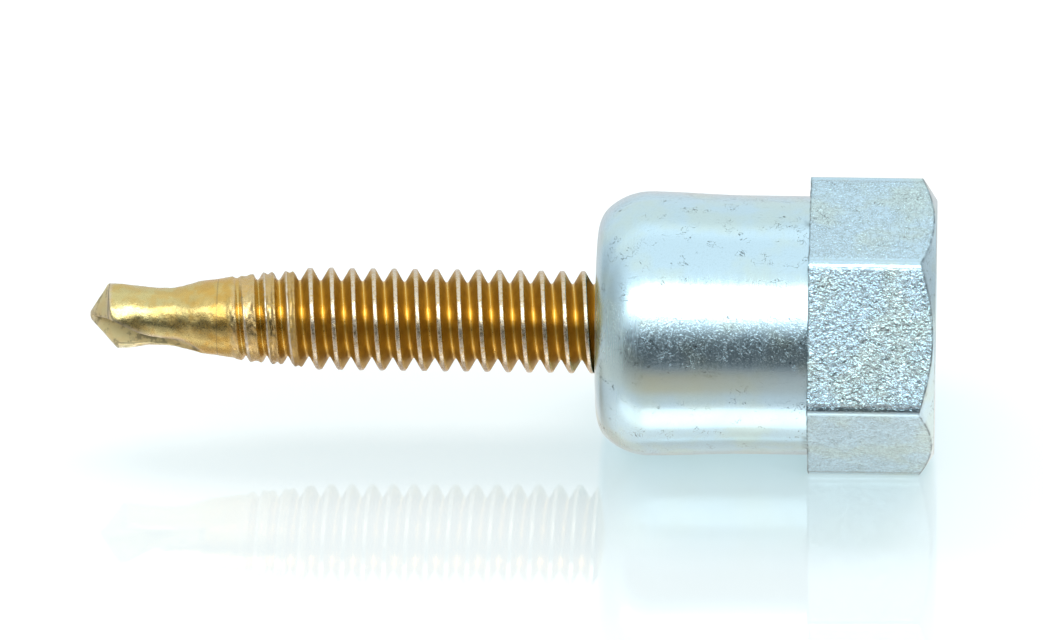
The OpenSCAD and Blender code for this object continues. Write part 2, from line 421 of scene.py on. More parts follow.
def half_section(at):
    """Half the point's section at each distance from the tip.

    From the heel edge round the land to the lip, then in along the rake
    face to the web and out along the heel wall to the other heel edge.
    The corner at the web is drawn in by a curve through lip, corner and
    heel.
    """
    body = body_radius(at)
    heel = np.radians(smooth_table(at, HEEL_AT, HEEL_ANGLE, 0.15))
    open_share = ease((FLUTE_END - at) / 0.3 + 0.5)
    # behind the flute the columns spread evenly round the shank
    even = ease((at - FLUTE_END) / 0.95)
    step = FULL_TURN / SCREW_COLUMNS
    even_heel = EVEN_HEEL * step
    heel = heel * (1 - even) + even_heel * even

    def radius(phi):
        shape = soft_min(body, cone_radius(at, phi), 0.12)
        return np.where(at > CONE_END, body, shape)

    r_lip = radius(LIP)
    web = np.minimum(HALF_WEB, 0.7 * r_lip)
    lip = LIP + np.arcsin(web / r_lip)
    lip = lip * (1 - even) + (even_heel + LAND * step) * even
    t = np.linspace(0, 1, LAND + 1)
    phi = heel + (lip - heel) * t
    land = on_circle(radius(phi), phi)

    # the flute between this lip and the next land's heel
    next_heel = heel + math.pi
    s = np.linspace(0, 1, RAKE + HEEL + 1)[1:-1]
    around = lip + (next_heel - lip) * s
    outer = on_circle(radius(lip * (1 - s) + heel * s), around)
    from_lip, to_heel = land[:, -1:], -on_circle(radius(heel), heel)
    # the corner lies just past the axis, and rises to the skin at the run-out
    drop = np.minimum(0.05, -2.18 + (FLUTE_END - at) * 0.4)
    drop = np.maximum(drop, -np.sqrt(np.maximum(body**2 - web**2, 0.01)) + 0.02)
    drop = np.minimum(drop, r_lip * 0.5)
    corner = np.stack([-web, -drop], axis=-1)
    s = s[None, :, None]
    straight = np.where(
        s < 0.5,
        from_lip + (corner - from_lip) * (2 * s),
        corner + (to_heel - corner) * (2 * s - 1),
    )
    curve = (1 - s) ** 2 * from_lip + 2 * s * (1 - s) * corner + s * s * to_heel
    flute = straight * 0.68 + curve * 0.32
    share = open_share[..., None]
    flute = flute * share + outer * (1 - share)
    return np.concatenate([land, flute], axis=1)


def point_grid(reach):
    """Skin of the drill point, from the pole at its tip to the shank.

    The second half of each section is the first one turned by half a turn.
    Lips, heels and tip are worn, and the flutes and the cone are cut.
    """
    tip = np.linspace(0, 0.3, 8, endpoint=False)
    cone = np.linspace(0.3, 2.2, 42, endpoint=False)
    at = np.concatenate([tip, cone, np.linspace(2.2, POINT_END, 92)])[:, None]
    first = half_section(at)
    section = np.concatenate([first, -first, first[:, :1]], axis=1)
    # the second lip is ground back further than the first
    back = 0.31 * np.maximum(-section[..., 1], 0) * ease((3.6 - at) / 2.8)
    points = np.stack([at - reach + back, -section[..., 0], section[..., 1]], axis=-1)
    pole = np.broadcast_to([-reach, 0, 0], (1,) + points.shape[1:])
    k = np.arange(SCREW_COLUMNS // 2)
    near = np.minimum(np.minimum(k, SCREW_COLUMNS // 2 - k), np.abs(k - LAND))
    edge = np.exp(-((near / 1.1) ** 2))
    edge = np.concatenate([edge, edge, edge[:1]])[None, :]
    tip = np.exp(-((at / 0.35) ** 2))
    wear = np.maximum(edge * ease((FLUTE_END - at) / 1.5), tip)
    # where the ground cone meets the forged land
    k = np.append(np.tile(k, 2), 0)[None, :]
    rim = np.exp(-(((at - 1.2) / 0.14) ** 2)) * (k <= LAND)
    wear = np.maximum(wear, rim)
    wear = np.concatenate([wear[:1], wear])
    # the flutes and the cone are ground, and the rest is forged
    flute = ((k > LAND + 1) & (k < SCREW_COLUMNS // 2)) * ease(FLUTE_END - at)
    cut = np.maximum(flute, ease((1.25 - at) / 0.15))
    cut = np.concatenate([cut[:1], cut])
    return np.concatenate([pole, points]), wear * 0.8, cut


def thread_radius(sizes, x, crest, offset):
    """Radius of the thread at x, on the turn whose crest is at crest.

    Each groove has 60 degree flanks and a round root. Between two grooves
    stands the crest: full, or not yet full with a fold between its ridges.
    The first groove fades in, and the thread runs out into the neck.
    """
    pitch, root_r, thread_x = sizes["pitch"], sizes["root_r"], sizes["thread_x"]
    d = np.abs(offset)
    foot = pitch / 2 - 0.1  # where the flank ends beside the root
    turns = (crest - thread_x) / pitch
    top = np.interp(turns, CREST_AT, CREST_R) - CREST_R[-1] + sizes["thread_r"]
    fold = np.interp(turns, CREST_AT, FOLD_DEPTH)
    flank = root_r + 0.062 + (foot - d) * FLANK_SLOPE
    ridge = (flank - top) / FLANK_SLOPE + d
    wide = np.maximum(ridge, 0.05)
    plateau = top - fold * np.cos(np.clip(d / wide, 0, 1) * math.pi / 2) ** 2
    r = soft_min(flank, plateau, 0.09)
    r = soft_max(r, root_r, 0.13)
    behind = ease((crest + pitch / 2 - thread_x + 0.5) / 0.9)
    before = ease((crest - pitch / 2 - thread_x + 0.5) / 0.9)
    cut = before + (behind - before) * ease(offset / 0.36 + 0.5)
    shank = body_radius(x + sizes["reach"])
    r = shank + (r - shank) * cut
    end = ease((sizes["neck_x"] - x) / pitch)
    return sizes["neck_r"] + (r - sizes["neck_r"]) * end


def screw_skin(s, nut):
    """The whole screw: drill point, thread, and the head inside the nut."""
    theta = np.linspace(0, FULL_TURN, SCREW_COLUMNS + 1)[None, :]
    reach, point_len = s.reach / MM, s.point_len / MM
    head_x = nut.end_wall / MM
    sizes = {
        "reach": reach,
        "pitch": s.pitch / MM,
        "root_r": s.root_d / MM / 2,
        "thread_r": s.thread_d / MM / 2,
        "thread_x": point_len - reach,
        "neck_r": s.neck_d / MM / 2,
        "neck_x": head_x - NECK,
    }
    point, point_wear, point_cut = point_grid(reach)

    # rows from a crest to the groove's middle, at a pitch of 2 x 0.635
    offsets = np.array([0, 0.04, 0.08, 0.11, 0.14, 0.18, 0.23, 0.28, 0.33, 0.38])
    offsets = np.append(offsets, [0.43, 0.48, 0.52, 0.548, 0.568, 0.583, 0.597, 0.614])
    half = sizes["pitch"] / 2
    offsets = offsets * half / 0.635
    offsets = np.concatenate([[-half], -offsets[:0:-1], offsets])
    start, end = POINT_END - reach, head_x - NECK / 2
    rings = body_radius(np.array(POINT_END)), sizes["neck_r"]
    first = sizes["thread_x"] + FIRST_CREST
    radius_at = partial(thread_radius, sizes)
    thread = helix_grid(
        start, end, rings, sizes["pitch"], first, offsets, theta, radius_at
    )
    r = np.hypot(thread[..., 1], thread[..., 2])
    turns = (thread[..., 0] - sizes["thread_x"]) / sizes["pitch"]
    top = np.interp(turns, CREST_AT, CREST_R)
    # a crest that isn't full is rubbed a little over its whole width
    fold = ease((r - top + 0.17) / 0.03) * ease((turns + 0.4) / 0.3)
    fold *= 0.25 * ease((3.4 - turns) / 0.8)
    thread_wear = ease((r - top + 0.035) / 0.03) * ease((turns + 0.9) / 0.6)
    thread_wear = np.maximum(thread_wear, fold)

    flange_r, head_top = s.flange_d / MM / 2, head_x + (s.flange_t + s.head_h) / MM
    flange_top = head_x + s.flange_t / MM
    hexagon = hexagon_radius(theta, s.head_af / MM, 0.15)
    inscribed = s.head_af / MM / 2
    head_rows = [
        (end, sizes["neck_r"]),
        (head_x - 0.08, sizes["neck_r"]),
        (head_x, sizes["neck_r"] + 0.1),
        (head_x, flange_r - 0.12),
        (head_x + 0.12, flange_r),
        (flange_top - 0.35, flange_r),
        (flange_top, flange_r - 0.3),
        (flange_top, hexagon),
        (head_top - (hexagon - inscribed + 0.1) * 0.55, hexagon),
        (head_top, np.minimum(hexagon, inscribed - 0.1)),
        (head_top, 3.1),
        (head_top - 0.45, 2.5),
        (head_top - 0.55, 0 * hexagon),
    ]
    head = np.concatenate([turned(x, r, theta) for x, r in head_rows])
    return [(point, point_wear, point_cut), (thread, thread_wear, 0), (head, 0.3, 0)]


def roughened(points, s):
    """The screw's points as forging and rolling leave them.

    Each keeps its x, and its distance from the axis changes by waves: under
    0.04 mm on the point and the scuffed first crests, and under 0.02 mm on
    the other crests.
    """
    x, r = points[:, 0], np.hypot(points[:, 1], points[:, 2])
    on_point = ease((s.point_len / MM - s.reach / MM - x) / 1.2)
    crest = ease((r - 2.45) / 0.5) * ease((-0.6 - x) / 0.5)
    scuffed = ease((-17.0 - x) / 1.5) * ease((x + 23.4) / 0.6)
    dents = 0.005 * waves(points, 0.55, 3) + 0.013 * waves(points, 1.3, 4)
    uneven = 0.008 * waves(points, 0.5, 5) * crest
    uneven += 0.018 * waves(points, 0.32, 7) * scuffed * ease((r - 2.42) / 0.1)
    grown = 1 + (dents * on_point * ease(r / 1.2) + uneven) / np.maximum(r, 1)
    return points * np.stack([np.ones_like(grown), grown, grown], axis=-1)


class HANGER_OT_screw(bpy.types.Operator):
    """Make the self-drilling screw in place of its CAD solid"""

    bl_idname = "hanger.screw"
    bl_label = "Screw"

    def execute(self, context):
        sizes = context.scene.hanger_screw
        grids = screw_skin(sizes, context.scene.hanger_nut)
        piece = closed_skin("plated_screw", grids)
        mesh = piece.data
        x, y, z = roughened(read_points(mesh), sizes).T
        cos_t, sin_t = math.cos(sizes.turn), math.sin(sizes.turn)
        points = np.stack([x, y * cos_t - z * sin_t, y * sin_t + z * cos_t], axis=-1)
        write_points(mesh, points)
        shade(mesh, 50)
        mesh.materials.append(yellow_chromate(context.scene.hanger_colours))
        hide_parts("drill_screw")
        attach(piece, "root")
        return {"FINISHED"}


# ---- nut ----

HEAD_GAP = 0.06  # all round between the screw's head and its pocket
HOLE_RIM = 0.1  # from the seat face to where the nut's skin meets itself


def nut_columns():
    """Angles round the nut, close together on the hexagon's round corners."""
    half = [0, 0.48, 0.96, 1.4425, 2.2, 3.4, 5, 7.2, 9.6, 12, 14.6, 17.2, 19.8]
    half = np.array(half + [22.4, 25, 27.5, 30])
    sector = np.concatenate([half, 60 - half[-2:0:-1]])
    turns = np.concatenate([sector + 60 * k for k in range(6)] + [[360]])
    return np.radians(turns)[None, :]


def bell_profile(n):
    """Outline of the bell from the seat face to its collar, as (x, r).

    The seat's edge and the shoulder are two arcs, and the smaller radius
    holds. Behind the belly the radius eases down to the collar's.
    """
    belly_x, belly_r = n.belly_at / MM, n.belly_d / MM / 2
    edge_r, shoulder_r = n.seat_edge_r / MM, n.shoulder_r / MM
    seat_r = n.seat_d / MM / 2
    x = belly_x * np.linspace(0, 1, 40) ** 2
    edge = seat_r + np.sqrt(np.maximum(edge_r**2 - (edge_r - x) ** 2, 0))
    edge = np.where(x > edge_r, seat_r + edge_r, edge)
    shoulder = belly_r - shoulder_r + np.sqrt(shoulder_r**2 - (belly_x - x) ** 2)
    front = soft_min(edge, shoulder, 0.12)
    back_x = np.linspace(belly_x, n.bell_len / MM, 26)[1:]
    fall = ease((back_x - belly_x) / (n.collar_at / MM - belly_x))
    back = belly_r + (n.collar_d / MM / 2 - belly_r) * fall
    front[0] = seat_r
    return list(zip(np.append(x, back_x), np.append(front, back)))


def nut_skin(n, s):
    """The nut as one closed skin, from the seat face round to the seat.

    The rows of the outside are (x, r, edge), where edge is how much darker
    the row is drawn, and those of the inside (x, r).
    """
    theta = nut_columns()
    end_x, bell_x, wall = n.total_len / MM, n.bell_len / MM, n.end_wall / MM
    hole_r, bore_r = n.hole_d / MM / 2, n.socket_d / MM / 2
    major_r, pitch = n.socket_major_d / MM / 2, n.socket_pitch / MM
    hexagon = hexagon_radius(theta, n.hex_af / MM, n.hex_edge_r / MM)
    face_r, slope = n.chamfer_d / MM / 2, math.tan(n.chamfer)
    chamfer_x = end_x - (hexagon - face_r) * slope
    mouth_r = n.mouth_d / MM / 2
    mouth_x = end_x - (mouth_r - bore_r)

    # rim of the screw's hole, seat and bell
    rows = [(HOLE_RIM, hole_r, 0), (0.03, hole_r + 0.03, 0), (0, hole_r + 0.1, 0)]
    rows += [(0, hole_r + 0.8, 0), (0, 5.0, 0)]
    rows += [(x, r, 0) for x, r in bell_profile(n)]
    # shoulder and flats of the hexagon
    collar_r = rows[-1][1]
    rows += [(bell_x, collar_r + 0.02 * (hexagon - collar_r), 0.6)]
    rows += [(bell_x, hexagon - 0.05, 1), (bell_x + 0.015, hexagon - 0.015, 1)]
    rows += [(bell_x + 0.05, hexagon, 0.8)]
    side_x, side_end = bell_x + 0.13, chamfer_x - 0.12
    rows += [(side_x + (side_end - side_x) * k / 12, hexagon, 0) for k in range(13)]
    # chamfer, end face and mouth of the socket
    rows += [(chamfer_x - 0.04, hexagon, 0.7), (chamfer_x + 0.01, hexagon - 0.022, 1)]
    out, end_out = hexagon - 0.06, face_r + 0.05
    for k in range(5):
        r = out + (end_out - out) * k / 4
        rows += [(end_x - (r - face_r) * slope, r, 0.4 * (k == 0))]
    rows += [(end_x - 0.006, face_r + 0.005, 1), (end_x, face_r - 0.04, 0.6)]
    rows += [(end_x, face_r - (face_r - mouth_r) * k / 4, 0) for k in range(1, 4)]
    rows += [(end_x, mouth_r + 0.04, 0), (end_x - 0.02, mouth_r - 0.02, 0)]
    rows += [(mouth_x, bore_r, 0)]
    outer = np.concatenate([turned(x, r, theta) for x, r, edge in rows])
    wear = np.array([edge for x, r, edge in rows])[:, None]

    start = s.flange_t / MM + s.head_h / MM + wall
    offsets = np.linspace(-0.5, 0.5, 15)[:-1] * pitch

    def socket_radius(x, crest, offset):
        """Bore with a 60 degree groove, faded in at the mouth and bottom."""
        d = np.abs(offset)
        groove = major_r - d * FLANK_SLOPE
        r = soft_max(np.minimum(groove, major_r - 0.05), bore_r, 0.08)
        inside = ease(x - start - 1.2) * ease((end_x - x) / 0.6)
        return bore_r + (r - bore_r) * inside

    socket = helix_grid(
        start, mouth_x, (bore_r, bore_r), pitch, start, offsets, theta, socket_radius
    )

    pocket = hexagon_radius(theta - s.turn, s.head_af / MM + 2 * HEAD_GAP, 0.1)
    flange_r, flange_top = s.flange_d / MM / 2 + HEAD_GAP, wall + s.flange_t / MM
    inner_rows = [
        (start, bore_r),
        (start, pocket),
        (flange_top, pocket),
        (flange_top, flange_r),
        (wall, flange_r),
        (wall, hole_r),
        (HOLE_RIM, hole_r),
    ]
    inner = np.concatenate([turned(x, r, theta) for x, r in inner_rows])
    # the round long edges are rubbed smooth, and the flat above them a little
    sector = math.pi / 3
    beside = np.degrees((theta + sector / 2) % sector - sector / 2)
    above = beside * np.sign(np.cos(theta))
    rubbed = 0.85 * ease((2.7 - np.abs(above - 0.5)) / 0.8)
    return [(outer, wear, rubbed), (socket, 0, 0), (inner, 0, 0)]


class HANGER_OT_nut(bpy.types.Operator):
    """Make the bell nut with its hexagon and tapped socket"""

    bl_idname = "hanger.nut"
    bl_label = "Nut"

    def execute(self, context):
        sizes = context.scene.hanger_nut
        piece = closed_skin("plated_nut", nut_skin(sizes, context.scene.hanger_screw))
        mesh = piece.data
        # the shoulder of the hexagon is a little ragged
        points = read_points(mesh)
        r = np.hypot(points[:, 1], points[:, 2])
        ragged = np.abs(points[:, 0] - sizes.bell_len / MM - 0.02) < 0.05
        ragged &= r > sizes.collar_d / MM / 2 + 0.03
        points[:, 0] += 0.02 * waves(points, 0.8, 6) * ragged
        write_points(mesh, points)
        shade(mesh, 25)
        colours = context.scene.hanger_colours
        mesh.materials.append(turned_zinc(colours))
        mesh.materials.append(drawn_zinc(colours))
        # the hexagon's flats are drawn, and all the rest is turned
        centres = read_vectors(mesh.polygons, "center")
        r = np.hypot(centres[:, 1], centres[:, 2])
        on_flat = (centres[:, 0] > sizes.bell_len) & (r > sizes.chamfer_d / 2)
        on_flat &= np.abs(read_vectors(mesh.polygons, "normal")[:, 0]) < 0.5
        mesh.polygons.foreach_set("material_index", on_flat.astype(np.int32))
        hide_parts("rod_nut")
        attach(piece, "root")
        return {"FINISHED"}


# ---- finishes ----


def add(tree, kind, sockets=None, **settings):
    """Adds a node with its settings; a socket gets a link or a value."""
    made = tree.nodes.new("ShaderNode" + kind)
    for key, value in settings.items():
        setattr(made, key, value)
    for key, value in (sockets or {}).items():
        socket = made.inputs[key]
        if isinstance(value, bpy.types.NodeSocket):
            tree.links.new(value, socket)
        else:
            socket.default_value = value
    return made


def rgba(rgb):
    """The colour with an alpha of 1."""
    return (*rgb, 1.0)


def start_material(name):
    """A new material, its empty node tree and its object coordinates."""
    made = bpy.data.materials.new(name)
    made.use_nodes = True
    tree = made.node_tree
    tree.nodes.clear()
    place = add(tree, "TexCoord").outputs["Object"]
    return made, tree, place


def end_material(tree, base, roughness, sockets):
    """Joins a Principled shader with these sockets to the output."""
    sockets = {"Base Color": base, "Roughness": roughness, **sockets}
    shader = add(tree, "BsdfPrincipled", sockets)
    add(tree, "OutputMaterial", {"Surface": shader.outputs[0]})


def attribute(tree, name):
    """The value of a vertex attribute."""
    return add(tree, "Attribute", attribute_name=name).outputs["Fac"]


def in_mm(tree, place, scale=(1, 1, 1)):
    """Object coordinates, in metres, made millimetres times scale."""
    factor = tuple(c / MM for c in scale)
    return add(tree, "Mapping", {"Vector": place, "Scale": factor}).outputs[0]


def noise(tree, vector, per_mm, detail, roughness=0.5, distortion=0.0):
    """Fractal noise from 0 to 1, per_mm of its largest spots to a millimetre."""
    sockets = {
        "Vector": vector,
        "Scale": per_mm,
        "Detail": detail,
        "Roughness": roughness,
        "Distortion": distortion,
    }
    return add(tree, "TexNoise", sockets).outputs["Fac"]


def ramp(tree, value, low, high, to_low=0.0, to_high=1.0):
    """Eases from to_low at the value low to to_high at the value high."""
    sockets = {
        "Value": value,
        "From Min": low,
        "From Max": high,
        "To Min": to_low,
        "To Max": to_high,
    }
    made = add(tree, "MapRange", sockets, interpolation_type="SMOOTHSTEP")
    return made.outputs["Result"]


def mix(tree, share, a, b):
    """Mix of two colours; each is a linked socket or a linear colour."""
    a, b = (c if isinstance(c, bpy.types.NodeSocket) else rgba(c) for c in (a, b))
    return add(tree, "Mix", {0: share, 6: a, 7: b}, data_type="RGBA").outputs[2]


def mix_values(tree, share, a, b):
    """Mix of two values."""
    return add(tree, "Mix", {0: share, 2: a, 3: b}, data_type="FLOAT").outputs[0]


def maths(tree, operation, value, *others):
    """The operation on the first two values, then on that and the next."""
    for other in others:
        value = add(tree, "Math", {0: value, 1: other}, operation=operation).outputs[0]
    return value


def times(tree, *values):
    """The product of the values."""
    return maths(tree, "MULTIPLY", *values)


def size_of(tree, value):
    """The value without its sign."""
    return maths(tree, "ABSOLUTE", value, 0.0)


def bump(tree, height, depth_mm, normal=None):
    """Normal over a relief as deep as given where the height is 1."""
    sockets = {"Height": height, "Distance": depth_mm * MM, "Strength": 1.0}
    if normal is not None:
        sockets["Normal"] = normal
    return add(tree, "Bump", sockets).outputs["Normal"]


def yellow_chromate(c):
    """Yellow chromate over zinc on rolled and forged steel.

    Deep amber in the rolled thread, a thin straw film on the hammered
    point, and rubbed through to pale zinc on crests and edges.
    """
    made, tree, place = start_material("yellow chromate on rolled steel")
    mm = in_mm(tree, place)
    along = add(tree, "SeparateXYZ", {0: mm}).outputs["X"]
    cut, wear = attribute(tree, "cut"), attribute(tree, "wear")
    uncut = maths(tree, "SUBTRACT", 1.0, cut)
    # blotches of the film, 0.8 mm across
    blotch = noise(tree, mm, 1.2, 3)
    amber = mix(tree, ramp(tree, blotch, 0.35, 0.68), c.amber, c.bronze)
    thin = ramp(tree, along, -22.5, -27.0, 0.0, 0.6)
    thin = maths(tree, "ADD", thin, ramp(tree, blotch, 0.4, 0.6, -0.1, 0.4))
    straw = mix(tree, thin, c.gold, c.straw)
    film = mix(tree, ramp(tree, along, -21.6, -18.4), straw, amber)
    # dark specks 0.1 to 0.3 mm long in the film of the point
    specks = ramp(tree, noise(tree, mm, 3.2, 4, 0.7), 0.36, 0.26)
    specks = times(tree, specks, ramp(tree, along, -20.0, -16.5, 1.0, 0.4))
    # darker along the ground faces' edges; painted shade at the flutes' run-out
    edge_dark_and_shade = ramp(tree, times(tree, cut, uncut), 0.1, 0.24)
    # the faint ring left by the die, 22.9 mm before the seat
    ring = size_of(tree, maths(tree, "ADD", along, 22.9))
    ring = ramp(tree, ring, 0.06, 0.02, 0.0, 0.5)
    film = mix(tree, times(tree, cut, 0.5), film, c.ground)
    # rubbed spots 0.15 mm across break up the worn edges
    spots = noise(tree, mm, 6.0, 3, 0.6)
    rubbed = times(tree, wear, ramp(tree, spots, 0.3, 0.55, 0.35, 1.0))
    film = mix(tree, rubbed, film, c.worn)
    # smudges 0.5 mm across on the ground faces
    smudge = ramp(tree, noise(tree, mm, 1.6, 4, 0.7), 0.5, 0.62, 0.0, 0.9)
    smudge = times(tree, smudge, cut)
    dark = maths(tree, "MAXIMUM", specks, edge_dark_and_shade, ring, smudge)
    # one dark colour paints the specks, the ring, the smudges and the painted shade
    film = mix(tree, times(tree, dark, 0.65), film, c.dark_marks_and_shade)
    grain = noise(tree, mm, 7.0, 3, 0.6)
    normal = bump(tree, grain, 0.010)
    # the flanks of the thread are duller than its root and crest
    radial = in_mm(tree, place, (0, 1, 1))
    radial = add(tree, "VectorMath", {0: radial}, operation="LENGTH").outputs["Value"]
    in_thread = ramp(tree, along, -20.5, -19.5)
    # painted highlight: the root of the thread is drawn in a brighter film colour
    root = times(tree, ramp(tree, radial, 2.39, 2.33), in_thread)
    film = mix(tree, times(tree, root, 0.8), film, c.painted_root_highlight)
    flank = times(
        tree,
        ramp(tree, radial, 2.33, 2.42, 0.1, 0.22),
        ramp(tree, radial, 3.02, 2.92),
        ramp(tree, along, -19.5, -18.5),
    )
    # hammer marks 0.4 mm across, where the point is forged and crests are worn
    hammered = noise(tree, mm, 2.4, 3, 0.5, 0.2)
    forged = times(tree, ramp(tree, along, -20.0, -23.0), uncut)
    dented = ramp(tree, along, -19.5, -16.5, 0.8, 0.25)
    forged = maths(tree, "MAXIMUM", forged, times(tree, wear, dented))
    hammered = times(tree, hammered, forged)
    normal = bump(tree, hammered, 0.018, normal)
    satin = ramp(tree, along, -19.0, -22.0, 0.0, 0.07)
    rough = maths(
        tree,
        "ADD",
        ramp(tree, grain, 0.25, 0.75, 0.16, 0.26),
        maths(tree, "MAXIMUM", satin, flank),
        times(tree, cut, 0.36),
        times(tree, wear, 0.07),
    )
    # the film is chalky where it lies on ground steel
    metallic = maths(tree, "SUBTRACT", 1.0, times(tree, cut, 0.4))
    end_material(tree, film, rough, {"Metallic": metallic, "Normal": normal})
    return made


def scratches(tree, mm, per_mm):
    """Short curly marks: thin bands of one noise, kept where another is high."""
    line = noise(tree, mm, per_mm, 2, 0.6, 0.8)
    line = ramp(tree, size_of(tree, maths(tree, "SUBTRACT", line, 0.5)), 0.014, 0.004)
    kept = ramp(tree, noise(tree, mm, per_mm * 0.55, 1), 0.56, 0.61)
    return times(tree, line, kept)


def zinc_film(tree, mm, c, grain, shade_depth, marks):
    """Colour of the blue chromate, with painted shade between its crystals.

    The grain is the height of the crystals, and shade_depth is how dark the
    painted shade between them gets. The film is darker at marks and at the
    edges marked by wear.
    """
    # the film's hue changes over 3 mm
    blotch = ramp(tree, noise(tree, mm, 0.35, 3), 0.42, 0.66)
    film = mix(tree, blotch, c.blue_zinc, c.green_zinc)
    # painted shade between the crystals, where the grain is low
    film = mix(tree, ramp(tree, grain, 0.48, 0.34, 0.0, shade_depth), film, c.hollow_tint_and_shade)
    # edges marked by wear are drawn darker, broken up by noise; in the corner where the
    # collar meets the hexagon this is painted shade
    dark_edges = ramp(tree, noise(tree, mm, 2.5, 2), 0.35, 0.6, 0.35, 1.0)
    dark_edges = times(tree, attribute(tree, "wear"), dark_edges)
    marks = maths(tree, "MAXIMUM", marks, dark_edges)
    return mix(tree, times(tree, marks, 0.85), film, c.scratch)


def turned_zinc(c):
    """Blue-white chromate over zinc on a turned bell.

    Bright and slightly blue, with a fine plated grain that glitters at
    the edge of a light, faint marks round the axis from the turning tool,
    and a few short scratches.
    """
    made, tree, place = start_material("blue chromate on turned steel")
    mm = in_mm(tree, place)
    # turning marks 0.05 mm wide, drawn 0.12 mm wide so that they show
    round_axis = in_mm(tree, place, (8.0, 0.35, 0.35))
    turning = noise(tree, round_axis, 1.0, 2)
    # crystals 0.05 mm across, drawn 0.12 mm across so that they show
    grain = noise(tree, mm, 8.0, 4, 0.68, 0.6)
    # the tool chattered in a band along each side, 3 to 5 mm above the axis
    along, _, height = add(tree, "SeparateXYZ", {0: mm}).outputs[:3]
    above = ramp(tree, height, 1.6, 3.4, 0.1, 1)
    chatter = times(tree, ramp(tree, height, 5.4, 4.6), above)
    coarse = ramp(tree, grain, 0.5, 0.72)
    coarse = times(tree, coarse, ramp(tree, chatter, 0, 1, 0.15, 1))
    marks = scratches(tree, mm, 1.7)
    normal = bump(tree, coarse, 0.0045)
    strokes = times(tree, scratches(tree, mm, 2.6), chatter)
    normal = bump(tree, strokes, 0.012, normal)
    normal = bump(tree, turning, 0.0025, normal)
    film = zinc_film(tree, mm, c, grain, 0.12, marks)
    # a faint painted reflection of the warm floor ahead, 0.3 to 2 mm above the axis,
    # fading to the hexagon
    painted_reflection = times(
        tree,
        ramp(tree, height, 0.1, 0.9),
        ramp(tree, height, 1.5, 2.4, 0.6, 0.0),
        ramp(tree, along, 1.5, 3.5),
        ramp(tree, along, 5.0, 12.0, 1.0, 0.25),
    )
    film = mix(tree, painted_reflection, film, c.painted_reflection)
    # the shoulder and the chatter are duller than the rest
    rough = ramp(tree, turning, 0.3, 0.7, 0.15, 0.21)
    dull = times(tree, chatter, 0.04)
    dull = maths(tree, "ADD", dull, ramp(tree, along, 1.8, 3.6, 0.06, 0.0))
    rough = maths(tree, "ADD", rough, dull)
    end_material(tree, film, rough, {"Metallic": 1.0, "Normal": normal})
    return made


def drawn_zinc(c):
    """Blue-white chromate over zinc on the flats of a drawn hexagon bar.

    The same film as on the bell over a coarse crinkled grain, which
    glitters where it catches the edge of a light.
    """
    made, tree, place = start_material("blue chromate on drawn steel")
    mm = in_mm(tree, place)
    # crinkles 0.25 mm across, with creases between them
    grain = noise(tree, mm, 3.4, 3, 0.6, 1.2)
    crease = noise(tree, mm, 2.6, 2, 0.6, 1.0)
    crease = size_of(tree, maths(tree, "SUBTRACT", crease, 0.5))
    crease = ramp(tree, crease, 0.004, 0.05)
    height = maths(tree, "ADD", grain, times(tree, crease, 0.25))
    # the long edges are rubbed smooth
    crinkled = maths(tree, "SUBTRACT", 1.0, attribute(tree, "cut"))
    height = times(tree, height, crinkled)
    marks = times(tree, scratches(tree, mm, 1.3), 0.6)
    film = zinc_film(tree, mm, c, grain, 0.08, marks)
    # painted shade in the creases, left off the rubbed edges
    dark = ramp(tree, crease, 0.0, 1.0, 0.15, 0.0)
    film = mix(tree, times(tree, dark, crinkled), film, c.hollow_tint_and_shade)
    normal = bump(tree, height, 0.095)
    end_material(tree, film, 0.15, {"Metallic": 1.0, "Normal": normal})
    return made


def glossy_floor(c):
    """Pale lacquered sheet, lit from below.

    The sheet's glow makes it the white ground and keeps its shadows pale
    and cool. The metal sees that glow only near the object. The lacquer
    gives a faint mirror image of the object and of the key light.
    """
    made, tree, place = start_material("pale lacquered sheet")
    path = add(tree, "LightPath").outputs
    along, across = add(tree, "SeparateXYZ", {0: place}).outputs[:2]
    near = ramp(tree, size_of(tree, across), 18 * MM, 11 * MM)
    # and less beside the screw, which stands clear of the floor
    near = times(tree, near, ramp(tree, along, -9 * MM, 0.0, 0.3, 1.0))
    metal = times(tree, path["Is Glossy Ray"], near)
    direct = path["Is Camera Ray"], path["Is Transmission Ray"]
    seen = maths(tree, "MAXIMUM", metal, *direct)
    glow = mix(tree, path["Is Camera Ray"], c.warm_glow, c.glow)
    sockets = {"IOR": 2.5, "Emission Color": glow, "Emission Strength": seen}
    end_material(tree, rgba(c.floor), 0.04, sockets)
    return made


# ---- studio ----

FLOOR_HALF = 2.0  # half the floor's side, in metres

# Name, setting, rise in degrees, distance, width, height and place along the
# axis in metres, and the rays that don't see it. Two side by side show in the
# metal, and the one overhead lights the floor.
SOFTBOXES = (
    ("key softbox", "key", 55, 0.35, 0.24, 0.15, 0.07, "visible_diffuse"),
    ("side softbox", "beside", 55, 0.35, 0.23, 0.15, -0.165, "visible_diffuse"),
    ("overhead softbox", "overhead", 115, 0.4, 0.4, 0.13, 0.0, "visible_glossy"),
)


def softbox(name, radiance, rise, distance, width, height, along):
    """A rectangular lamp over the object, at the angle rise from -Y.

    Its radiance is a quarter of its power over its area.
    """
    lamp = bpy.data.lights.new(name, "AREA")
    lamp.shape = "RECTANGLE"
    lamp.size, lamp.size_y = width, height
    lamp.energy = 4 * width * height * radiance
    made = bpy.data.objects.new(name, lamp)
    way = Vector((0, -math.cos(rise), math.sin(rise)))
    made.location = way * distance + Vector((along, 0, 0))
    made.rotation_euler = way.to_track_quat("Z", "Y").to_euler()
    bpy.context.collection.objects.link(made)
    return made


